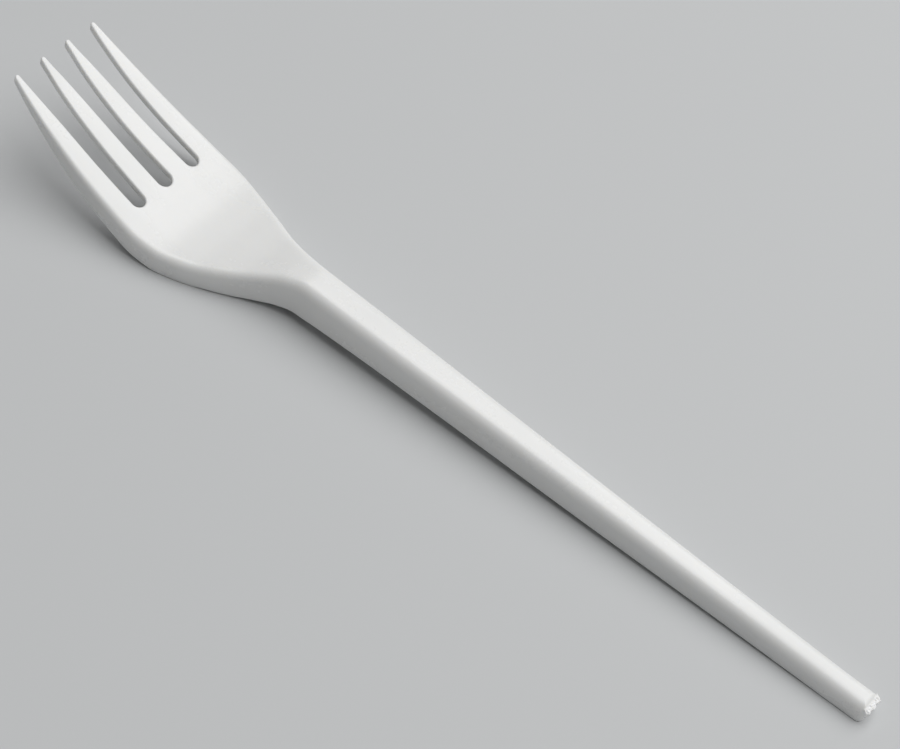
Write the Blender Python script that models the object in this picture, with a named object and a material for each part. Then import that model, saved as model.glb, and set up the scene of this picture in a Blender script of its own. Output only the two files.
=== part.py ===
"""A white disposable plastic fork, moulded in one piece, lying as it comes to rest on a table.

The fork is drawn with x along it, from the tine tips to the end of the handle, y across it and
z up from the flat top of the handle. It is then tilted onto its belly and the end of its handle.
"""

import math

import bmesh
import bpy
import numpy as np
from mathutils import Matrix
from mathutils.geometry import delaunay_2d_cdt

# Lengths along the fork, in metres
TINE_LENGTH = 0.0269
PALM_LENGTH = 0.0296
HANDLE_LENGTH = 0.1084

# Side view: the top face against the handle's top line
TIP_RISE = 0.00585
BELLY_DROP = 0.00498

# Plan view: half of each width
TIP_HALF_SPAN = 0.00963
HEAD_HALF_WIDTH = 0.01256
NECK_HALF_WIDTH = 0.00338
END_HALF_WIDTH = 0.00225
END_CORNER_RADIUS = 0.0009

# Tines: half widths, and how far the two inner ones stand from the middle
TINE_TIP = 0.00045
INNER_TINE_ROOT = 0.00200
OUTER_TINE_ROOT = 0.00221
INNER_TINE_TIP_OFFSET = 0.00297
INNER_TINE_ROOT_OFFSET = 0.00345

# Section: a sheet with a wall hanging from its outer edge, open below
SHEET = 0.0012
WALL = 0.0011
SLOT_END_DEPTH = 0.0038
NECK_DEPTH = 0.0064
END_DEPTH = 0.0035
INNER_FILLET = 0.0005
RIM_ROUNDING = 0.0002
DRAFT = math.radians(1.5)

# Rounding of the top edge
SLOT_EDGE_RADIUS = 0.00035
SLOT_END_EDGE_RADIUS = 0.00115
HANDLE_EDGE_RADIUS = 0.00185
END_EDGE_RADIUS = 0.00160

# Flat that the belly rests on, given as the depth of the curve that it cuts off
BELLY_FLAT = 0.00006

# Where a ring runs inside a tine, the width and the length that are left for its round tip
TIP_WIDTH_LEFT = 0.00009
TIP_LENGTH_LEFT = 0.00011

# On a tine's flat underside, how far in from the slot the first and the last ring run
FIRST_UNDERSIDE_INSET = 0.00035
LAST_UNDERSIDE_INSET = 0.00068

# Gate, snapped off at the end of the handle: its ragged edge stands out by these, side to side
GATE_BACK_DROP = 0.00038
GATE_EDGE_DROP = 0.00095
GATE_UNDERSIDE_DROP = 0.0019
GATE_HALF_WIDTH = 0.002
GATE_ROOT = 0.0006
GATE_RAGGED_EDGE = (0.0002, 0.0006, 0.0005, 0.0003, 0.0005, 0.00056, 0.00034, 0.0003, 0.00055, 0.0001)
GATE_UNDERCUT = 0.4

# How each shape runs between its named sizes: (share of the length, share of the change)
FALL_OF_TINES = ((0, 0), (0.18, 0.208), (0.41, 0.442), (0.65, 0.654), (0.87, 0.8135), (1, 0.898))
RISE_OF_PALM = (
    (0.1, 0.093), (0.28, 0), (0.42, 0.055), (0.56, 0.235),
    (0.68, 0.436), (0.78, 0.665), (0.88, 0.872), (1, 1),
)
SPREAD_OF_TINES = ((0, 0), (0.19, 0.27), (0.41, 0.52), (0.67, 0.757), (1, 0.965))
NARROWING_OF_PALM = (
    (0.09, 0), (0.2, 0.025), (0.37, 0.168), (0.55, 0.415), (0.73, 0.72), (0.88, 0.925), (1, 1),
)
TAPER_OF_HANDLE = ((0.14, 0.09), (0.3, 0.31), (0.5, 0.575), (0.75, 0.86), (1, 1))
GROWTH_OF_INNER_TINE = ((0, 0), (0.074, 0.155), (0.186, 0.426), (0.41, 0.723), (0.7, 0.893), (1, 1))
GROWTH_OF_OUTER_TINE = ((0, 0), (0.074, 0.15), (0.186, 0.35), (0.41, 0.655), (0.7, 0.872), (1, 1))
SPREAD_OF_INNER_TINES = ((0, 0), (0.45, 0.24), (1, 1))
DEPTH_OF_TINES = ((0, 0), (0.186, 0.27), (0.41, 0.55), (0.7, 0.87), (1, 1))
DEPTH_OF_PALM = ((0.28, 0.09), (0.48, 0.22), (0.69, 0.64), (0.86, 0.95), (1, 1))
DEPTH_OF_HANDLE = ((0.04, 0.1), (0.14, 0.29), (0.3, 0.41), (0.5, 0.52), (0.75, 0.76), (1, 1))

# Points along each stretch of the outline
TINE_STEPS = 12
PALM_STEPS = 18
HANDLE_STEPS = 26
TIP_STEPS = 8
SLOT_STEPS = 10
CORNER_STEPS = 4
END_STEPS = 4
TOP_EDGE_STEPS = 5
FILLET_STEPS = 2
CAP_SPACING = 0.0022
SEARCH_STEPS = 600

NECK_AT = TINE_LENGTH + PALM_LENGTH
LENGTH = NECK_AT + HANDLE_LENGTH
TINES = (0, 1, 2, 3)
WHITE = (0.86, 0.86, 0.84, 1)


def smooth_curve(points):
    """A smooth curve through (place, value) points that never swings past them, as a function."""
    places, values = (np.array(column, float) for column in zip(*points))
    gaps = np.diff(places)
    steps = np.diff(values) / gaps
    slopes = np.zeros(len(places))
    for i in range(1, len(steps)):
        before, after = steps[i - 1], steps[i]
        if before * after > 0:
            weight = (gaps[i - 1] + 2 * gaps[i]) / (3 * (gaps[i - 1] + gaps[i]))
            slopes[i] = before * after / (weight * after + (1 - weight) * before)
    slopes[0] = end_slope(gaps, steps)
    slopes[-1] = end_slope(gaps[::-1], steps[::-1])

    def value_at(place):
        place = min(max(place, places[0]), places[-1])
        i = min(int(np.searchsorted(places, place, "right")) - 1, len(gaps) - 1)
        t = (place - places[i]) / gaps[i]
        change = values[i + 1] - values[i]
        bend = (1 - t) * (slopes[i] * gaps[i] - change) - t * (slopes[i + 1] * gaps[i] - change)
        return float(values[i] + t * change + t * (1 - t) * bend)

    return value_at


def end_slope(gaps, steps):
    """The slope of a smooth curve at its first point, from its first two stretches."""
    if len(gaps) < 2:
        return steps[0]
    slope = ((2 * gaps[0] + gaps[1]) * steps[0] - gaps[0] * steps[1]) / (gaps[0] + gaps[1])
    return slope if slope * steps[0] > 0 else 0


def stretch(shares, start, length, first, last):
    """(share, share) pairs turned into places along the fork and sizes there."""
    return [(start + place * length, first + share * (last - first)) for place, share in shares]


top_height = smooth_curve(
    stretch(FALL_OF_TINES, 0, TINE_LENGTH, TIP_RISE, -BELLY_DROP)
    + stretch(RISE_OF_PALM, TINE_LENGTH, PALM_LENGTH, -BELLY_DROP, 0)
    + [(LENGTH, 0)]
)
half_width = smooth_curve(
    stretch(SPREAD_OF_TINES, 0, TINE_LENGTH, TIP_HALF_SPAN, HEAD_HALF_WIDTH)
    + stretch(NARROWING_OF_PALM, TINE_LENGTH, PALM_LENGTH, HEAD_HALF_WIDTH, NECK_HALF_WIDTH)
    + stretch(TAPER_OF_HANDLE, NECK_AT, HANDLE_LENGTH, NECK_HALF_WIDTH, END_HALF_WIDTH)
)
wall_depth = smooth_curve(
    stretch(DEPTH_OF_TINES, 0, TINE_LENGTH, SHEET, SLOT_END_DEPTH)
    + stretch(DEPTH_OF_PALM, TINE_LENGTH, PALM_LENGTH, SLOT_END_DEPTH, NECK_DEPTH)
    + stretch(DEPTH_OF_HANDLE, NECK_AT, HANDLE_LENGTH, NECK_DEPTH, END_DEPTH)
)
edge_radius = smooth_curve(
    [
        (0, SLOT_EDGE_RADIUS),
        (TINE_LENGTH, SLOT_END_EDGE_RADIUS),
        (NECK_AT, HANDLE_EDGE_RADIUS),
        (LENGTH - 4 * HANDLE_EDGE_RADIUS, HANDLE_EDGE_RADIUS),
        (LENGTH, END_EDGE_RADIUS),
    ]
)
inner_tine = smooth_curve(stretch(GROWTH_OF_INNER_TINE, 0, TINE_LENGTH, TINE_TIP, INNER_TINE_ROOT))
outer_tine = smooth_curve(stretch(GROWTH_OF_OUTER_TINE, 0, TINE_LENGTH, TINE_TIP, OUTER_TINE_ROOT))
inner_tine_middle = smooth_curve(
    stretch(SPREAD_OF_INNER_TINES, 0, TINE_LENGTH, INNER_TINE_TIP_OFFSET, INNER_TINE_ROOT_OFFSET)
)


def slant(curve, x):
    """How much longer a step square to the curve is than its sideways part."""
    step = TINE_TIP / 5
    return math.hypot(1, (curve(x + step) - curve(x - step)) / (2 * step))


def tine_sides(tine, x):
    """The two sides of a tine, counted from the side of negative y: (low, high) without inset."""
    if tine in (TINES[0], TINES[-1]):
        outer = half_width(x)
        inner = outer - 2 * outer_tine(x)
        return (-outer, -inner) if tine == 0 else (inner, outer)
    middle, half = inner_tine_middle(x), inner_tine(x)
    return (-middle - half, half - middle) if tine == 1 else (middle - half, middle + half)


class Ring:
    """One closed line round the whole fork, inset from its outline and dropped from its top face.

    The outer edge and the edges of the slots have an inset and a drop of their own, each a
    function of the place along the fork.
    """

    def __init__(self, outer_inset, slot_inset, outer_drop, slot_drop):
        self.outer_inset, self.slot_inset = outer_inset, slot_inset
        self.outer_drop, self.slot_drop = outer_drop, slot_drop
        self.end_inset = outer_inset(LENGTH)
        self.corner = max(END_CORNER_RADIUS - self.end_inset, RIM_ROUNDING / 2)
        self.last = LENGTH - self.end_inset - self.corner
        self.tips = [self.round_end(tine) for tine in TINES]
        self.points = self.along_outer_edge(-1) + self.across_end()
        self.points += self.along_outer_edge(1)[::-1]
        for tine in reversed(TINES):
            self.points += self.round_tip(tine)
            if tine:
                self.points += self.round_slot(tine - 1)

    def insets(self, tine, x):
        """How far the low and the high side of a tine are inset."""
        outer, slot = self.outer_inset(x), self.slot_inset(x)
        return {0: (outer, slot), 3: (slot, outer)}.get(tine, (slot, slot))

    def slot_radius(self, slot, x):
        return (tine_sides(slot + 1, x)[0] - tine_sides(slot, x)[1]) / 2

    def round_end(self, tine):
        """Where the tine is first wide enough for this ring's insets, and how long its round end is."""
        for x in np.linspace(0, TINE_LENGTH, SEARCH_STEPS):
            low, high = tine_sides(tine, x)
            inset = sum(self.insets(tine, x)) / 2
            if x >= inset and high - low > 2 * inset + TIP_WIDTH_LEFT:
                break
        return x, max(TINE_TIP - inset, TIP_LENGTH_LEFT)

    def point(self, x, y, drop):
        return (x, y, top_height(x) - drop)

    def on_outer_edge(self, x, side):
        inset = self.outer_inset(x) * slant(half_width, x)
        return self.point(x, side * (half_width(x) - inset), self.outer_drop(x))

    def along_outer_edge(self, side):
        """From the end of the outer tine's round tip to the corner at the end of the handle."""
        tine = 0 if side < 0 else 3
        first = sum(self.tips[tine])
        root = TINE_LENGTH - self.slot_radius(1, TINE_LENGTH)
        places = [
            *np.linspace(first, root, TINE_STEPS + 1)[:-1],
            *np.linspace(root, NECK_AT, PALM_STEPS + 1)[:-1],
            *np.linspace(NECK_AT, self.last, HANDLE_STEPS + 1),
        ]
        return [self.on_outer_edge(x, side) for x in places]

    def across_end(self):
        """The two round corners and the straight end between them."""
        half = half_width(LENGTH) - self.end_inset - self.corner
        drop = self.outer_drop(LENGTH)
        quarter = [math.pi / 2 * i / CORNER_STEPS for i in range(1, CORNER_STEPS + 1)]
        arc = [(self.last + self.corner * math.sin(a), half + self.corner * math.cos(a)) for a in quarter]
        straight = [half * (2 * i / END_STEPS - 1) for i in range(1, END_STEPS)]
        points = [self.point(x, -y, drop) for x, y in arc]
        points += [self.point(self.last + self.corner, y, drop) for y in straight]
        return points + [self.point(x, y, drop) for x, y in reversed(arc)]

    def round_tip(self, tine):
        """Round the tip of a tine, from its high side to its low side."""
        start, length = self.tips[tine]
        first = 1 if tine == 3 else 0
        last = TIP_STEPS - 1 if tine == 0 else TIP_STEPS
        points = []
        for i in range(first, last + 1):
            angle = math.pi * (0.5 - i / TIP_STEPS)
            x = start + length * (1 - math.cos(angle))
            points.append(self.between_sides(tine, x, math.sin(angle)))
        return points

    def between_sides(self, tine, x, across):
        """A point of a tine's round end: across runs from -1 on its low side to 1 on its high."""
        sides, insets = tine_sides(tine, x), self.insets(tine, x)
        low, high = sides[0] + insets[0], sides[1] - insets[1]
        drops = {0: (self.outer_drop(x), self.slot_drop(x)), 3: (self.slot_drop(x), self.outer_drop(x))}
        first, last = drops.get(tine, (self.slot_drop(x), self.slot_drop(x)))
        drop = first + (last - first) * (1 + across) / 2
        return self.point(x, (low + high) / 2 + across * (high - low) / 2, drop)

    def round_slot(self, slot):
        """Down the low side of one tine, round the slot's end and back up the next tine."""
        centre_x = TINE_LENGTH - self.slot_radius(slot, TINE_LENGTH)
        radius = self.slot_radius(slot, centre_x) + self.slot_inset(centre_x)
        points = []
        for i in range(1, TINE_STEPS):
            first = sum(self.tips[slot + 1])
            points.append(self.on_slot_side(slot + 1, 0, first + (centre_x - first) * i / TINE_STEPS))
        centre_y = (tine_sides(slot + 1, centre_x)[0] + tine_sides(slot, centre_x)[1]) / 2
        for i in range(SLOT_STEPS + 1):
            angle = math.pi * (0.5 - i / SLOT_STEPS)
            x = centre_x + radius * math.cos(angle)
            points.append(self.point(x, centre_y + radius * math.sin(angle), self.slot_drop(x)))
        for i in range(TINE_STEPS - 1, 0, -1):
            first = sum(self.tips[slot])
            points.append(self.on_slot_side(slot, 1, first + (centre_x - first) * i / TINE_STEPS))
        return points

    def on_slot_side(self, tine, side, x):
        y = tine_sides(tine, x)[side] + self.slot_inset(x) * (-1 if side else 1)
        return self.point(x, y, self.slot_drop(x))


def rest_slope():
    """The slope, in the fork's own frame, of the table under its belly and its handle's end."""
    lowest_end = top_height(LENGTH) - wall_depth(LENGTH)
    places = np.linspace(TINE_LENGTH, NECK_AT, SEARCH_STEPS)
    return max((lowest_end - top_height(x) + wall_depth(x) - BELLY_FLAT) / (LENGTH - x) for x in places)


REST_SLOPE = rest_slope()


def rim_depth(x):
    """The outer wall's depth, less what the flat under the belly cuts off."""
    table = top_height(LENGTH) - wall_depth(LENGTH) - REST_SLOPE * (LENGTH - x)
    return min(wall_depth(x), top_height(x) - table) if x < NECK_AT else wall_depth(x)


def sheet_depth(x):
    """The sheet's thickness measured straight down, where the sheet slopes."""
    return SHEET * slant(top_height, x)


def inner_fillet(x):
    return min(INNER_FILLET, rim_depth(x) - sheet_depth(x))


def rings():
    """All rings, from the top face over the edge, down the wall and in to the ceiling."""
    made = []
    for i in range(TOP_EDGE_STEPS + 1):
        angle = math.pi / 2 * i / TOP_EDGE_STEPS
        inward, down = 1 - math.sin(angle), 1 - math.cos(angle)
        made.append(
            Ring(
                lambda x, k=inward: k * edge_radius(x),
                lambda x, k=inward: k * SLOT_EDGE_RADIUS,
                lambda x, k=down: k * edge_radius(x),
                lambda x, k=down: k * SLOT_EDGE_RADIUS,
            )
        )
    splay = math.tan(DRAFT)
    for inward, up in ((0, RIM_ROUNDING), (RIM_ROUNDING, 0)):
        made.append(
            Ring(
                lambda x, k=inward: k - splay * (rim_depth(x) - sheet_depth(x)),
                lambda x, k=inward: k,
                lambda x, k=up: rim_depth(x) - k,
                lambda x, k=up: sheet_depth(x) - k,
            )
        )
    spread = np.linspace(FIRST_UNDERSIDE_INSET, LAST_UNDERSIDE_INSET, FILLET_STEPS + 3)
    for inward, up, inset in ((-RIM_ROUNDING, 0, spread[0]), (0, RIM_ROUNDING, spread[1])):
        made.append(
            Ring(
                lambda x, k=inward: WALL + k - splay * (rim_depth(x) - sheet_depth(x)),
                lambda x, k=inset: k,
                lambda x, k=up: max(rim_depth(x) - k, sheet_depth(x)),
                sheet_depth,
            )
        )
    for i, inset in enumerate(spread[2:]):
        angle = math.pi / 2 * i / FILLET_STEPS
        made.append(
            Ring(
                lambda x, k=1 - math.cos(angle): WALL + k * inner_fillet(x),
                lambda x, k=inset: k,
                lambda x, k=1 - math.sin(angle): sheet_depth(x) + k * inner_fillet(x),
                sheet_depth,
            )
        )
    return made


def cap(ring, drop):
    """Triangles inside a ring, with points between its sides so that they follow the curve."""
    rim = [(x, y) for x, y, z in ring.points]
    extra = []
    for x in np.arange(TINE_LENGTH + 2 * CAP_SPACING, NECK_AT, CAP_SPACING):
        half = half_width(x) - ring.outer_inset(x) * slant(half_width, x) - CAP_SPACING / 2
        rows = max(int(2 * half / CAP_SPACING), 1)
        extra += [(x, half * (2 * i / rows - 1)) for i in range(rows + 1)] if half > CAP_SPACING else []
    edges = [(i, (i + 1) % len(rim)) for i in range(len(rim))]
    flat, _, triangles, *_ = delaunay_2d_cdt(rim + extra, edges, [], 1, 1e-9)
    points = [(x, y, top_height(x) - drop(x)) for x, y in flat]
    return points, triangles


def fork_mesh():
    """The whole moulding as one closed mesh, without what is left of its gate."""
    bm = bmesh.new()
    made = rings()
    rows = [[bm.verts.new(point) for point in ring.points] for ring in made]
    count = len(rows[0])
    for upper, lower in zip(rows, rows[1:]):
        for i in range(count):
            j = (i + 1) % count
            bm.faces.new((upper[i], upper[j], lower[j], lower[i]))
    for ring, row, drop in ((made[0], rows[0], lambda x: 0), (made[-1], rows[-1], sheet_depth)):
        points, triangles = cap(ring, drop)
        verts = row + [bm.verts.new(point) for point in points[count:]]
        for triangle in triangles:
            bm.faces.new([verts[i] for i in triangle])
    bmesh.ops.recalc_face_normals(bm, faces=bm.faces)
    mesh = bpy.data.meshes.new("fork")
    bm.to_mesh(mesh)
    bm.free()
    return mesh


def gate_mesh():
    """What is left of the gate: a thin wedge across the end wall with a ragged outer edge."""
    back = LENGTH - GATE_ROOT
    last = len(GATE_RAGGED_EDGE) - 1
    bm = bmesh.new()
    rows = []
    for i, reach in enumerate(GATE_RAGGED_EDGE):
        y = GATE_HALF_WIDTH * (1 - 2 * i / last)
        section = (
            (back, -GATE_BACK_DROP),
            (LENGTH + reach, -GATE_EDGE_DROP),
            (LENGTH + reach * (1 - GATE_UNDERCUT), -GATE_UNDERSIDE_DROP),
            (back, -GATE_UNDERSIDE_DROP),
        )
        rows.append([bm.verts.new((x, y, z)) for x, z in section])
    for row, following in zip(rows, rows[1:]):
        for i in range(len(row)):
            j = (i + 1) % len(row)
            bm.faces.new((row[i], row[j], following[j], following[i]))
    bm.faces.new(rows[0])
    bm.faces.new(rows[-1])
    bmesh.ops.recalc_face_normals(bm, faces=bm.faces)
    mesh = bpy.data.meshes.new("gate")
    bm.to_mesh(mesh)
    bm.free()
    return mesh


def white_plastic():
    material = bpy.data.materials.new("white_plastic")
    material.use_nodes = True
    shader = material.node_tree.nodes["Principled BSDF"]
    shader.inputs["Base Color"].default_value = WHITE
    shader.inputs["Roughness"].default_value = 0.32
    shader.inputs["Metallic"].default_value = 0
    return material


def resting_place(meshes):
    """Tilts the fork onto the table and puts the middle of its box over the origin."""
    tilt = Matrix.Rotation(math.atan(REST_SLOPE), 4, "Y")
    points = [tilt @ vertex.co for mesh in meshes for vertex in mesh.vertices]
    lengths = [point.x for point in points]
    shift = (-(min(lengths) + max(lengths)) / 2, 0, -min(point.z for point in points))
    return Matrix.Translation(shift) @ tilt


def main():
    for old in list(bpy.data.objects):
        bpy.data.objects.remove(old)
    fork = bpy.data.objects.new("fork", fork_mesh())
    gate = bpy.data.objects.new("gate", gate_mesh())
    for obj in (fork, gate):
        bpy.context.collection.objects.link(obj)
    place = resting_place([fork.data, gate.data])
    fork.matrix_world = place
    gate.matrix_world = place
    gate.hide_render = True
    gate.display_type = "WIRE"
    join = fork.modifiers.new("gate_stub", "BOOLEAN")
    join.operation = "UNION"
    join.solver = "EXACT"
    join.object = gate
    fork.data.materials.append(white_plastic())
    fork.data.shade_smooth()
    fork.data.set_sharp_from_angle(angle=math.radians(40))


main()
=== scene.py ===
# %% [markdown]
# # A white plastic fork, finished for a photograph
#
# The part's solids already have the right shape and size. This script puts the finish on top of
# them: a smoother skin, the torn edge where the moulding was snapped off, and a plastic that takes
# light as the real one does. It can be read from top to bottom as a lesson, one cell at a time.

# %% Load the measured part
import math

import bmesh
import bpy
import numpy as np
from mathutils import Matrix, Vector, noise
from mathutils.geometry import delaunay_2d_cdt


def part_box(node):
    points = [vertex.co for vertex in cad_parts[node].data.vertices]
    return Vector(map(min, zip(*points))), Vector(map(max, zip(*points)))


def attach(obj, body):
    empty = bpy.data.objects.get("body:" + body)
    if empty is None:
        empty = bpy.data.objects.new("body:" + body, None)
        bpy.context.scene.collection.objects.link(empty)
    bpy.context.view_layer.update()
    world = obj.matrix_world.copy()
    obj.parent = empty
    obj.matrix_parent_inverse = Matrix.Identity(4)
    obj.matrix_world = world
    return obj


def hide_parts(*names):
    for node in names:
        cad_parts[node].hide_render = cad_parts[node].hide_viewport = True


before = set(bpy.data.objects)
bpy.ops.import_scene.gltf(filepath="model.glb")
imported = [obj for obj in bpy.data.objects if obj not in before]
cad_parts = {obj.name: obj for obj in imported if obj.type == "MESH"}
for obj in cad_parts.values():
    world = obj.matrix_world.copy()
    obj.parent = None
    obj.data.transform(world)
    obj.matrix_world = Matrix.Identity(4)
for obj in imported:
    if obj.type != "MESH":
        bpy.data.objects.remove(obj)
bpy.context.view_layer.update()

MM = 0.001

# %% [markdown]
# ## The fork's own measures
#
# The fork is drawn along x, from the tips of its tines to the end of its handle, with y across it
# and z up from the flat top of its handle. Each curve below runs through a few (place, size) pairs
# in millimetres. They are the same places and sizes as in the part's source, so the skin lies where
# the solid does. A curve that swings past its points would put a bulge in a straight handle, so the
# slopes are chosen by the rule of the harmonic mean, which never does.

# %% A smooth curve through a few points
def end_slope(gaps, steps):
    if len(gaps) < 2:
        return steps[0]
    slope = ((2 * gaps[0] + gaps[1]) * steps[0] - gaps[0] * steps[1]) / (gaps[0] + gaps[1])
    return slope if slope * steps[0] > 0 else 0


def smooth_curve(points):
    """A function of the place that runs smoothly through (place, value) points."""
    places, values = (np.array(column, float) for column in zip(*points))
    gaps = np.diff(places)
    steps = np.diff(values) / gaps
    slopes = np.zeros(len(places))
    for i in range(1, len(steps)):
        before, after = steps[i - 1], steps[i]
        if before * after > 0:
            weight = (gaps[i - 1] + 2 * gaps[i]) / (3 * (gaps[i - 1] + gaps[i]))
            slopes[i] = before * after / (weight * after + (1 - weight) * before)
    slopes[0] = end_slope(gaps, steps)
    slopes[-1] = end_slope(gaps[::-1], steps[::-1])

    def value_at(place):
        place = min(max(place, places[0]), places[-1])
        i = min(int(np.searchsorted(places, place, "right")) - 1, len(gaps) - 1)
        t = (place - places[i]) / gaps[i]
        change = values[i + 1] - values[i]
        bend = (1 - t) * (slopes[i] * gaps[i] - change) - t * (slopes[i + 1] * gaps[i] - change)
        return float(values[i] + t * change + t * (1 - t) * bend)

    return value_at


def stretch(shares, start, length, first, last):
    return [(start + place * length, first + share * (last - first)) for place, share in shares]


# %% Sizes and curves of the fork
TINE_LENGTH, PALM_LENGTH, HANDLE_LENGTH = 26.9, 29.6, 108.4
NECK_AT = TINE_LENGTH + PALM_LENGTH
LENGTH = NECK_AT + HANDLE_LENGTH
SHEET, WALL, INNER_FILLET, RIM_ROUNDING = 1.2, 1.1, 0.5, 0.2
END_CORNER_RADIUS, TINE_TIP, SLOT_EDGE_RADIUS = 0.9, 0.45, 0.35
DRAFT = math.radians(1.5)
BELLY_FLAT = 0.06

top_height = smooth_curve(
    stretch(
        ((0, 0), (0.18, 0.208), (0.41, 0.442), (0.65, 0.654), (0.87, 0.8135), (1, 0.898)),
        0, TINE_LENGTH, 5.85, -4.98,
    )
    + stretch(
        ((0.1, 0.093), (0.28, 0), (0.42, 0.055), (0.56, 0.235), (0.68, 0.436), (0.78, 0.665), (0.88, 0.872), (1, 1)),
        TINE_LENGTH, PALM_LENGTH, -4.98, 0,
    )
    + [(LENGTH, 0)]
)
half_width = smooth_curve(
    stretch(((0, 0), (0.19, 0.27), (0.41, 0.52), (0.67, 0.757), (1, 0.965)), 0, TINE_LENGTH, 9.63, 12.56)
    + stretch(
        ((0.09, 0), (0.2, 0.025), (0.37, 0.168), (0.55, 0.415), (0.73, 0.72), (0.88, 0.925), (1, 1)),
        TINE_LENGTH, PALM_LENGTH, 12.56, 3.38,
    )
    + stretch(((0.14, 0.09), (0.3, 0.31), (0.5, 0.575), (0.75, 0.86), (1, 1)), NECK_AT, HANDLE_LENGTH, 3.38, 2.25)
)
wall_depth = smooth_curve(
    stretch(((0, 0), (0.186, 0.27), (0.41, 0.55), (0.7, 0.87), (1, 1)), 0, TINE_LENGTH, SHEET, 3.8)
    + stretch(((0.28, 0.09), (0.48, 0.22), (0.69, 0.64), (0.86, 0.95), (1, 1)), TINE_LENGTH, PALM_LENGTH, 3.8, 6.4)
    + stretch(
        ((0.04, 0.1), (0.14, 0.29), (0.3, 0.41), (0.5, 0.52), (0.75, 0.76), (1, 1)),
        NECK_AT, HANDLE_LENGTH, 6.4, 3.5,
    )
)
edge_radius = smooth_curve([(0, 0.35), (TINE_LENGTH, 1.15), (NECK_AT, 1.85), (LENGTH - 7.4, 1.85), (LENGTH, 1.6)])
inner_tine = smooth_curve(
    stretch(((0, 0), (0.074, 0.155), (0.186, 0.426), (0.41, 0.723), (0.7, 0.893), (1, 1)), 0, TINE_LENGTH, 0.45, 2)
)
outer_tine = smooth_curve(
    stretch(((0, 0), (0.074, 0.15), (0.186, 0.35), (0.41, 0.655), (0.7, 0.872), (1, 1)), 0, TINE_LENGTH, 0.45, 2.21)
)
inner_tine_middle = smooth_curve(stretch(((0, 0), (0.45, 0.24), (1, 1)), 0, TINE_LENGTH, 2.97, 3.45))


def slant(curve, x):
    """How much longer a step square to the curve is than its sideways part."""
    step = TINE_TIP / 5
    return math.hypot(1, (curve(x + step) - curve(x - step)) / (2 * step))


def tine_sides(tine, x):
    """The low and high side of a tine, counted from the side of negative y."""
    if tine in (0, 3):
        outer = half_width(x)
        inner = outer - 2 * outer_tine(x)
        return (-outer, -inner) if tine == 0 else (inner, outer)
    middle, half = inner_tine_middle(x), inner_tine(x)
    return (-middle - half, half - middle) if tine == 1 else (middle - half, middle + half)


print("length", LENGTH, "head width", round(2 * max(half_width(x) for x in np.linspace(0, NECK_AT, 60)), 2))

# %% [markdown]
# ## Where the fork rests
#
# It lies on the lowest part of its wall, under the palm, and on the lower edge of its handle's end.
# The slope of a straight line under both gives the tilt, as a ruler laid against them would.

# %% Slope of the table in the fork's own frame
def rest_slope():
    lowest_end = top_height(LENGTH) - wall_depth(LENGTH)
    places = np.linspace(TINE_LENGTH, NECK_AT, 600)
    return max((lowest_end - top_height(x) + wall_depth(x) - BELLY_FLAT) / (LENGTH - x) for x in places)


REST_SLOPE = rest_slope()


def rim_depth(x):
    """The wall's depth, less what the flat under the belly cuts off."""
    table = top_height(LENGTH) - wall_depth(LENGTH) - REST_SLOPE * (LENGTH - x)
    return min(wall_depth(x), top_height(x) - table) if x < NECK_AT else wall_depth(x)


def sheet_depth(x):
    return SHEET * slant(top_height, x)


def inner_fillet(x):
    return min(INNER_FILLET, rim_depth(x) - sheet_depth(x))


print("tilt in degrees:", round(math.degrees(math.atan(REST_SLOPE)), 3))

# %% [markdown]
# ## A skin made of rings
#
# A moulded shell like this has one outline that goes round the whole fork: along both outer edges,
# round each tine's tip and down into each slot. If that outline is repeated as rings, first on the
# rounded top edge, then down the wall, under its rim and up inside to the ceiling, neighbouring
# rings can be bridged with four-sided faces. Only the top face and the ceiling are then left, and
# they are filled with triangles. The solid was made the same way, with fewer points. Here there are
# enough of them for soft light to run over the skin without a facet.

# %% How fine the skin is
TINE_STEPS, PALM_STEPS, HANDLE_STEPS = 44, 60, 110
TIP_STEPS, SLOT_STEPS, CORNER_STEPS, END_STEPS = 16, 24, 8, 10
TOP_EDGE_STEPS, FILLET_STEPS = 9, 4
FILL_SPACING = 0.75
TIP_WIDTH_LEFT, TIP_LENGTH_LEFT = 0.09, 0.11
FIRST_UNDERSIDE_INSET, LAST_UNDERSIDE_INSET = 0.35, 0.68


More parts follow.
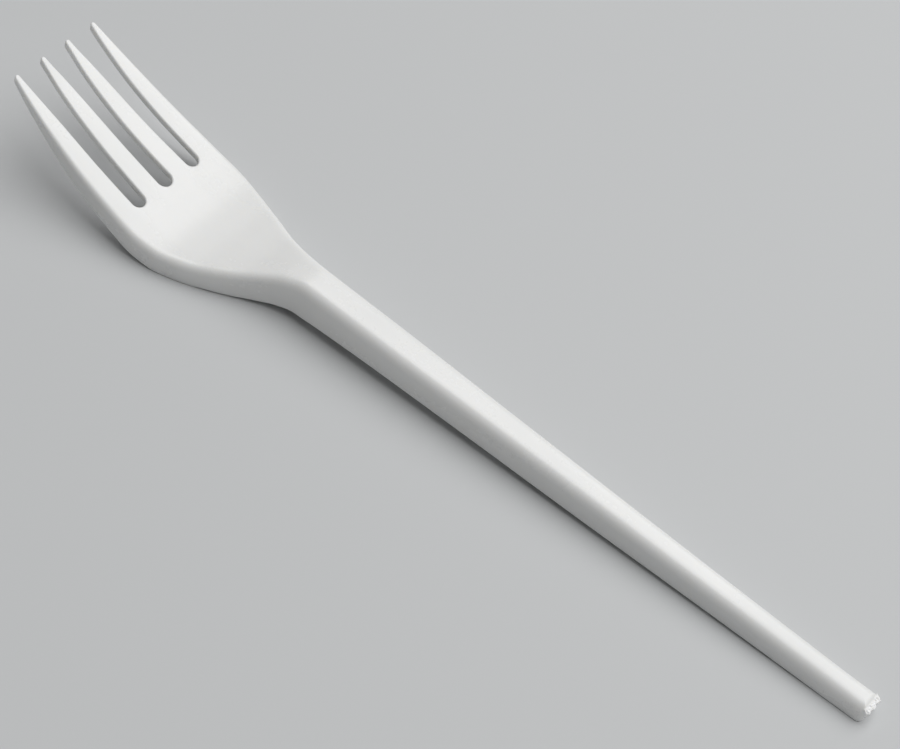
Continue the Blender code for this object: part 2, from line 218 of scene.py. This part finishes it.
# %% One ring round the fork
class Ring:
    """A closed line round the fork, inset from its outline and dropped from its top face."""

    def __init__(self, outer_inset, slot_inset, outer_drop, slot_drop):
        self.outer_inset, self.slot_inset = outer_inset, slot_inset
        self.outer_drop, self.slot_drop = outer_drop, slot_drop
        self.end_inset = outer_inset(LENGTH)
        self.corner = max(END_CORNER_RADIUS - self.end_inset, RIM_ROUNDING / 2)
        self.last = LENGTH - self.end_inset - self.corner
        self.tips = [self.round_end(tine) for tine in range(4)]
        self.points = self.along_outer_edge(-1) + self.across_end()
        self.points += self.along_outer_edge(1)[::-1]
        for tine in (3, 2, 1, 0):
            self.points += self.round_tip(tine)
            if tine:
                self.points += self.round_slot(tine - 1)

    def insets(self, tine, x):
        outer, slot = self.outer_inset(x), self.slot_inset(x)
        return {0: (outer, slot), 3: (slot, outer)}.get(tine, (slot, slot))

    def slot_radius(self, slot, x):
        return (tine_sides(slot + 1, x)[0] - tine_sides(slot, x)[1]) / 2

    def round_end(self, tine):
        """Where the tine is first wide enough for this ring, and how long its round end is."""
        for x in np.linspace(0, TINE_LENGTH, 600):
            low, high = tine_sides(tine, x)
            inset = sum(self.insets(tine, x)) / 2
            if x >= inset and high - low > 2 * inset + TIP_WIDTH_LEFT:
                break
        return x, max(TINE_TIP - inset, TIP_LENGTH_LEFT)

    def point(self, x, y, drop):
        return (x, y, top_height(x) - drop)

    def on_outer_edge(self, x, side):
        inset = self.outer_inset(x) * slant(half_width, x)
        return self.point(x, side * (half_width(x) - inset), self.outer_drop(x))

    def along_outer_edge(self, side):
        first = sum(self.tips[0 if side < 0 else 3])
        root = TINE_LENGTH - self.slot_radius(1, TINE_LENGTH)
        places = [
            *np.linspace(first, root, TINE_STEPS + 1)[:-1],
            *np.linspace(root, NECK_AT, PALM_STEPS + 1)[:-1],
            *np.linspace(NECK_AT, self.last, HANDLE_STEPS + 1),
        ]
        return [self.on_outer_edge(x, side) for x in places]

    def across_end(self):
        half = half_width(LENGTH) - self.end_inset - self.corner
        drop = self.outer_drop(LENGTH)
        quarter = [math.pi / 2 * i / CORNER_STEPS for i in range(1, CORNER_STEPS + 1)]
        arc = [(self.last + self.corner * math.sin(a), half + self.corner * math.cos(a)) for a in quarter]
        straight = [half * (2 * i / END_STEPS - 1) for i in range(1, END_STEPS)]
        points = [self.point(x, -y, drop) for x, y in arc]
        points += [self.point(self.last + self.corner, y, drop) for y in straight]
        return points + [self.point(x, y, drop) for x, y in reversed(arc)]

    def round_tip(self, tine):
        start, length = self.tips[tine]
        first = 1 if tine == 3 else 0
        last = TIP_STEPS - 1 if tine == 0 else TIP_STEPS
        points = []
        for i in range(first, last + 1):
            angle = math.pi * (0.5 - i / TIP_STEPS)
            x = start + length * (1 - math.cos(angle))
            points.append(self.between_sides(tine, x, math.sin(angle)))
        return points

    def between_sides(self, tine, x, across):
        sides, insets = tine_sides(tine, x), self.insets(tine, x)
        low, high = sides[0] + insets[0], sides[1] - insets[1]
        outer, slot = self.outer_drop(x), self.slot_drop(x)
        first, last = {0: (outer, slot), 3: (slot, outer)}.get(tine, (slot, slot))
        drop = first + (last - first) * (1 + across) / 2
        return self.point(x, (low + high) / 2 + across * (high - low) / 2, drop)

    def round_slot(self, slot):
        centre_x = TINE_LENGTH - self.slot_radius(slot, TINE_LENGTH)
        radius = self.slot_radius(slot, centre_x) + self.slot_inset(centre_x)
        centre_y = (tine_sides(slot + 1, centre_x)[0] + tine_sides(slot, centre_x)[1]) / 2
        points = []
        for i in range(1, TINE_STEPS):
            first = sum(self.tips[slot + 1])
            points.append(self.on_slot_side(slot + 1, 0, first + (centre_x - first) * i / TINE_STEPS))
        for i in range(SLOT_STEPS + 1):
            angle = math.pi * (0.5 - i / SLOT_STEPS)
            x = centre_x + radius * math.cos(angle)
            points.append(self.point(x, centre_y + radius * math.sin(angle), self.slot_drop(x)))
        for i in range(TINE_STEPS - 1, 0, -1):
            first = sum(self.tips[slot])
            points.append(self.on_slot_side(slot, 1, first + (centre_x - first) * i / TINE_STEPS))
        return points

    def on_slot_side(self, tine, side, x):
        y = tine_sides(tine, x)[side] + self.slot_inset(x) * (-1 if side else 1)
        return self.point(x, y, self.slot_drop(x))


# %% All rings, from the top face to the ceiling
def rings():
    made = []
    for i in range(TOP_EDGE_STEPS + 1):
        angle = math.pi / 2 * i / TOP_EDGE_STEPS
        made.append(
            Ring(
                lambda x, k=1 - math.sin(angle): k * edge_radius(x),
                lambda x, k=1 - math.sin(angle): k * SLOT_EDGE_RADIUS,
                lambda x, k=1 - math.cos(angle): k * edge_radius(x),
                lambda x, k=1 - math.cos(angle): k * SLOT_EDGE_RADIUS,
            )
        )
    splay = math.tan(DRAFT)
    for i in range(3):
        turn = math.pi / 4 * i
        made.append(
            Ring(
                lambda x, k=RIM_ROUNDING * (1 - math.cos(turn)): k - splay * (rim_depth(x) - sheet_depth(x)),
                lambda x, k=RIM_ROUNDING * (1 - math.cos(turn)): k,
                lambda x, k=RIM_ROUNDING * (1 - math.sin(turn)): rim_depth(x) - k,
                lambda x, k=RIM_ROUNDING * (1 - math.sin(turn)): sheet_depth(x) - k,
            )
        )
    spread = np.linspace(FIRST_UNDERSIDE_INSET, LAST_UNDERSIDE_INSET, FILLET_STEPS + 4)
    for i in range(3):
        turn = math.pi / 4 * i
        made.append(
            Ring(
                lambda x, k=-RIM_ROUNDING * (1 - math.sin(turn)): WALL + k - splay * (rim_depth(x) - sheet_depth(x)),
                lambda x, k=spread[i]: k,
                lambda x, k=RIM_ROUNDING * (1 - math.cos(turn)): max(rim_depth(x) - k, sheet_depth(x)),
                sheet_depth,
            )
        )
    for i in range(FILLET_STEPS + 1):
        angle = math.pi / 2 * i / FILLET_STEPS
        made.append(
            Ring(
                lambda x, k=1 - math.cos(angle): WALL + k * inner_fillet(x),
                lambda x, k=spread[i + 3]: k,
                lambda x, k=1 - math.sin(angle): sheet_depth(x) + k * inner_fillet(x),
                sheet_depth,
            )
        )
    return made


skin_rings = rings()
print(len(skin_rings), "rings of", len(skin_rings[0].points), "points")

# %% [markdown]
# ## Filling the top face and the ceiling
#
# The outline has slots and thin tines, so a plain fan of triangles would fold over itself. Blender's
# constrained Delaunay fill keeps every edge of the outline. It gets extra points inside, a little
# under a millimetre apart, so that the palm's hollow is as smooth as the edges round it.

# %% Fill a ring
def fill(ring, drop):
    rim = [(x, y) for x, y, z in ring.points]
    extra = []
    for x in np.arange(TINE_LENGTH + 2 * FILL_SPACING, LENGTH - 2 * FILL_SPACING, FILL_SPACING):
        half = half_width(x) - ring.outer_inset(x) * slant(half_width, x) - FILL_SPACING / 2
        if half > FILL_SPACING / 2:
            rows = max(int(2 * half / FILL_SPACING), 1)
            extra += [(x, half * (2 * i / rows - 1)) for i in range(rows + 1)]
    edges = [(i, (i + 1) % len(rim)) for i in range(len(rim))]
    flat, _, triangles, *_ = delaunay_2d_cdt(rim + extra, edges, [], 1, 1e-7)
    return [(x, y, top_height(x) - drop(x)) for x, y in flat], triangles


def skin_mesh(name, made):
    bm = bmesh.new()
    rows = [[bm.verts.new(point) for point in ring.points] for ring in made]
    count = len(rows[0])
    for upper, lower in zip(rows, rows[1:]):
        for i in range(count):
            j = (i + 1) % count
            bm.faces.new((upper[i], upper[j], lower[j], lower[i]))
    for ring, row, drop in ((made[0], rows[0], lambda x: 0), (made[-1], rows[-1], sheet_depth)):
        points, triangles = fill(ring, drop)
        verts = row + [bm.verts.new(point) for point in points[count:]]
        for triangle in triangles:
            bm.faces.new([verts[i] for i in triangle])
    bmesh.ops.recalc_face_normals(bm, faces=bm.faces)
    mesh = bpy.data.meshes.new(name)
    bm.to_mesh(mesh)
    bm.free()
    return mesh


# %% [markdown]
# ## From the drawing to the table
#
# The skin is tilted by the slope found above, made metric, and set down where the solid's box is.

# %% Stand a mesh on the table
def on_the_table(mesh, reference):
    """Returns the tilt and the move that set a mesh drawn in the fork's frame where the skin has to move to fill the
    box. The mesh argument is not used; the points come from reference.
    """
    tilt = Matrix.Rotation(math.atan(REST_SLOPE), 4, "Y") @ Matrix.Scale(MM, 4)
    points = [tilt @ vertex.co for vertex in reference]
    low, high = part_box("fork")
    move = (low.x - min(p.x for p in points), 0, low.z - min(p.z for p in points))
    return Matrix.Translation(move) @ tilt


def add_piece(name, mesh, material=None):
    piece = bpy.data.objects.new(name, mesh)
    bpy.context.scene.collection.objects.link(piece)
    if material:
        mesh.materials.append(material)
    return piece


fork = add_piece("fork_skin", skin_mesh("fork_skin", skin_rings))
place = on_the_table(fork.data, fork.data.vertices)
fork.data.transform(place)
fork.data.shade_smooth()
print("skin:", len(fork.data.vertices), "points,", len(fork.data.polygons), "faces")

# %% [markdown]
# ## The snapped-off gate
#
# Plastic enters the mould through a thin gate at the end of the handle. When forks are broken off
# their runner, a torn lip stays behind. It could be painted with a bump, but its ragged edge shows
# against the table, so it is a real wedge: a fine grid whose front is pushed in and out by noise.
# A Boolean union then makes it one moulding with the fork.

# %% The torn lip
GATE_BACK_DROP, GATE_EDGE_DROP, GATE_UNDERSIDE_DROP = 0.38, 0.95, 1.9
GATE_HALF_WIDTH, GATE_ROOT, GATE_UNDERCUT = 2.0, 0.6, 0.4
GATE_RAGGED_EDGE = (0.2, 0.6, 0.5, 0.3, 0.5, 0.56, 0.34, 0.3, 0.55, 0.1)
ACROSS_STEPS, TOP_STEPS, FRONT_STEPS, UNDER_STEPS = 72, 16, 12, 6
TORN_DEPTH, TORN_GRAIN = 0.11, 3.4


def gate_section(reach):
    """Points of the wedge's outline at one place across it, as (x, z), starting inside the end wall."""
    back = (LENGTH - GATE_ROOT, -GATE_BACK_DROP)
    edge = (LENGTH + reach, -GATE_EDGE_DROP)
    under = (LENGTH + reach * (1 - GATE_UNDERCUT), -GATE_UNDERSIDE_DROP)
    root = (LENGTH - GATE_ROOT, -GATE_UNDERSIDE_DROP)
    points = []
    for (x0, z0), (x1, z1), steps in ((back, edge, TOP_STEPS), (edge, under, FRONT_STEPS), (under, root, UNDER_STEPS)):
        points += [(x0 + (x1 - x0) * i / steps, z0 + (z1 - z0) * i / steps) for i in range(steps)]
    return points + [root]


def torn_gate_mesh():
    bm = bmesh.new()
    rows = []
    last = len(GATE_RAGGED_EDGE) - 1
    for i in range(ACROSS_STEPS + 1):
        share = i / ACROSS_STEPS
        reach = float(np.interp(share * last, range(last + 1), GATE_RAGGED_EDGE))
        y = GATE_HALF_WIDTH * (1 - 2 * share)
        row = []
        for x, z in gate_section(reach):
            free = min(max((x - LENGTH + GATE_ROOT) / GATE_ROOT, 0), 1)
            tear = noise.fractal(Vector((x, y, z)) * TORN_GRAIN, 0.9, 2.1, 4)
            row.append(bm.verts.new((x + TORN_DEPTH * free * tear, y, z + TORN_DEPTH * free * tear)))
        rows.append(row)
    count = len(rows[0])
    for row, following in zip(rows, rows[1:]):
        for i in range(count):
            j = (i + 1) % count
            bm.faces.new((row[i], row[j], following[j], following[i]))
    bm.faces.new(rows[0])
    bm.faces.new(rows[-1])
    bmesh.ops.recalc_face_normals(bm, faces=bm.faces)
    mesh = bpy.data.meshes.new("torn_gate")
    bm.to_mesh(mesh)
    bm.free()
    return mesh


gate = add_piece("torn_gate", torn_gate_mesh())
gate.data.transform(place)
join = fork.modifiers.new("gate", "BOOLEAN")
join.operation = "UNION"
join.solver = "EXACT"
join.object = gate
bpy.context.view_layer.objects.active = fork
bpy.ops.object.modifier_apply(modifier="gate")
bpy.data.objects.remove(gate)
fork.data.shade_smooth()
fork.data.set_sharp_from_angle(angle=math.radians(38))
print("with its gate:", len(fork.data.polygons), "faces")

# %% [markdown]
# ## A way to write shaders as sums
#
# A material's pattern is arithmetic on numbers that change over the surface. Wiring it by hand hides
# the sum behind dozens of nodes. The class below holds one socket. Adding, multiplying or comparing
# it makes the Math node that does so, and every other node comes from its one method `node`.

# %% The class
class Wire:
    """One output socket of a material's nodes, used like a number."""

    def __init__(self, tree, socket=None):
        self.tree, self.socket = tree, socket

    def node(self, kind, settings=None, output=0, **inputs):
        made = self.tree.nodes.new(kind)
        for name, value in (settings or {}).items():
            if name == "stops":
                self.set_stops(made.color_ramp, value)
            else:
                setattr(made, name, value)
        for name, value in inputs.items():
            socket = made.inputs[int(name[1:])] if name[0] == "_" else made.inputs[name.replace("_", " ")]
            if isinstance(value, Wire):
                self.tree.links.new(value.socket, socket)
            else:
                socket.default_value = value
        return Wire(self.tree, made.outputs[output])

    def set_stops(self, ramp, stops):
        for i, (place, colour) in enumerate(stops):
            stop = ramp.elements[i] if i < len(ramp.elements) else ramp.elements.new(place)
            stop.position, stop.color = place, colour

    def math(self, operation, first, second=None, **settings):
        inputs = {"_0": first} if second is None else {"_0": first, "_1": second}
        return self.node("ShaderNodeMath", {"operation": operation, **settings}, **inputs)

    def __add__(self, other):
        return self.math("ADD", self, other)

    def __sub__(self, other):
        return self.math("SUBTRACT", self, other)

    def __rsub__(self, other):
        return self.math("SUBTRACT", other, self)

    def __mul__(self, other):
        return self.math("MULTIPLY", self, other)

    def __truediv__(self, other):
        return self.math("DIVIDE", self, other)

    __radd__, __rmul__ = __add__, __mul__

    def between(self, low, high):
        """0 below low, 1 above high, and a smooth step between."""
        return self.node(
            "ShaderNodeMapRange", {"interpolation_type": "SMOOTHSTEP"}, Value=self, From_Min=low, From_Max=high
        )

    def feed(self, shader, name):
        self.tree.links.new(self.socket, shader.inputs[name])


print("operators:", [name for name in vars(Wire) if name.startswith("__") and name[2] in "arsmt"])

# %% [markdown]
# ## The plastic
#
# The fork is moulded in a white plastic that is glossy but not polished, and lets a little light
# through where it is thin. The gloss comes from the shader's own sockets, and the light that goes
# in and comes out again from its subsurface sockets. What varies is small: the colour is a touch
# cooler and cloudier in slow streaks along the flow of the plastic, the gloss has a faint haze
# from handling, and very shallow waves are left where the thick and thin parts shrank differently.
# At the torn gate the plastic is stretched, which turns it whiter and rough.

# %% White plastic
WHITE = (0.86, 0.862, 0.85, 1)
CLOUDED = (0.815, 0.82, 0.81, 1)
STRESSED = (0.93, 0.93, 0.925, 1)
GLOSS, HAZE, TORN_ROUGHNESS = 0.24, 0.09, 0.75
END_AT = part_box("fork")[1].x


def white_plastic():
    material = bpy.data.materials.new("white_plastic")
    material.use_nodes = True
    tree = material.node_tree
    shader = tree.nodes["Principled BSDF"]
    pen = Wire(tree)
    place_on_fork = pen.node("ShaderNodeTexCoord", output="Object")
    along = pen.node("ShaderNodeSeparateXYZ", Vector=place_on_fork)
    torn = along.between(END_AT - 1.25 * MM, END_AT - 0.75 * MM)
    streaks = pen.node(
        "ShaderNodeTexNoise", Vector=pen.node(
            "ShaderNodeMapping", Vector=place_on_fork, Scale=(25, 120, 120)
        ), Scale=1.0, Detail=3.0, Roughness=0.5,
    )
    specks = pen.node("ShaderNodeTexNoise", Vector=place_on_fork, Scale=900.0, Detail=2.0, Roughness=0.6)
    clouded = pen.node(
        "ShaderNodeMix", {"data_type": "RGBA"}, output=2, _0=streaks.between(0.35, 0.75), _6=WHITE, _7=CLOUDED
    )
    colour = pen.node("ShaderNodeMix", {"data_type": "RGBA"}, output=2, _0=torn, _6=clouded, _7=STRESSED)
    colour.feed(shader, "Base Color")
    roughness = GLOSS + HAZE * streaks.between(0.3, 0.8) + 0.05 * (specks - 0.5)
    (roughness * (1 - torn) + TORN_ROUGHNESS * torn).feed(shader, "Roughness")
    waves = pen.node("ShaderNodeTexNoise", Vector=place_on_fork, Scale=140.0, Detail=1.0)
    height = 0.9 * waves + 0.02 * specks + 1.4 * torn * specks
    bump = pen.node("ShaderNodeBump", Height=height, Strength=0.2, Distance=0.00006)
    bump.feed(shader, "Normal")
    shader.inputs["Subsurface Weight"].default_value = 0.25
    shader.inputs["Subsurface Radius"].default_value = (1.0, 0.95, 0.85)
    shader.inputs["Subsurface Scale"].default_value = 1.2 * MM
    shader.inputs["IOR"].default_value = 1.55
    return material


plastic = white_plastic()
fork.data.materials.append(plastic)
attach(fork, "root")
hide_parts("fork")
print("plastic:", len(plastic.node_tree.nodes), "nodes")

# %% [markdown]
# ## The table
#
# A plain pale table lets a white fork stand out by its shadow and by the grey of its near wall. It is
# a stage, not a part of the object.

# %% A pale floor
FLOOR_COLOUR = (0.56, 0.57, 0.575, 1)


def pale_floor():
    mesh = bpy.data.meshes.new("floor")
    bm = bmesh.new()
    bmesh.ops.create_grid(bm, x_segments=1, y_segments=1, size=2)
    bm.to_mesh(mesh)
    bm.free()
    material = bpy.data.materials.new("pale_floor")
    material.use_nodes = True
    shader = material.node_tree.nodes["Principled BSDF"]
    shader.inputs["Base Color"].default_value = FLOOR_COLOUR
    shader.inputs["Roughness"].default_value = 0.7
    return add_piece("floor", mesh, material)


floor = pale_floor()
print("floor:", [round(side, 2) for side in floor.dimensions])

# %% [markdown]
# ## Light
#
# The photograph's top faces are almost white and evenly lit, and the near wall falls to a middle
# grey. One large softbox overhead does both. It is wide, so its reflection in the glossy top stays
# weak and soft: a small bright lamp would burn white patches into the tines. The world gives the
# rest.

# %% Softbox and sky
def softbox(name, place, size, power):
    light = bpy.data.lights.new(name, "AREA")
    light.shape = "RECTANGLE"
    light.size, light.size_y = size
    light.energy = power
    lamp = bpy.data.objects.new(name, light)
    lamp.location = place
    lamp.rotation_euler = Vector(place).to_track_quat("Z", "Y").to_euler()
    bpy.context.scene.collection.objects.link(lamp)
    return lamp


softbox("overhead_softbox", (0.2, 0.35, 0.9), (1.2, 1.4), 11.5)

world = bpy.data.worlds.new("studio")
bpy.context.scene.world = world
world.use_nodes = True
sky = world.node_tree.nodes["Background"]
sky.inputs["Color"].default_value = (1, 1, 1, 1)
sky.inputs["Strength"].default_value = 0.2
bpy.context.scene.view_settings.view_transform = "Standard"

# %% [markdown]
# ## The camera
#
# The photograph looks down on the fork at about forty-seven degrees through a long lens, with the
# tines at the upper left and the handle running to the lower right. Where each tine ends, where the
# slots stop and how the handle's two edges close in on each other fix its place.

# %% Camera
CAMERA_PLACE = (0.104327, -0.271479, 0.330827)
CAMERA_TURN = (40.2566, -13.0957, 35.9499)
LENS_MM, FILM_WIDTH_MM = 112, 36

camera = bpy.data.objects.new("camera", bpy.data.cameras.new("camera"))
camera.location = CAMERA_PLACE
camera.rotation_euler = [math.radians(angle) for angle in CAMERA_TURN]
camera.data.lens = LENS_MM
camera.data.sensor_width = FILM_WIDTH_MM
camera.data.clip_start = 0.01
bpy.context.scene.collection.objects.link(camera)
bpy.context.scene.camera = camera
print("camera is", round(Vector(CAMERA_PLACE).length, 3), "m from the middle of the fork")
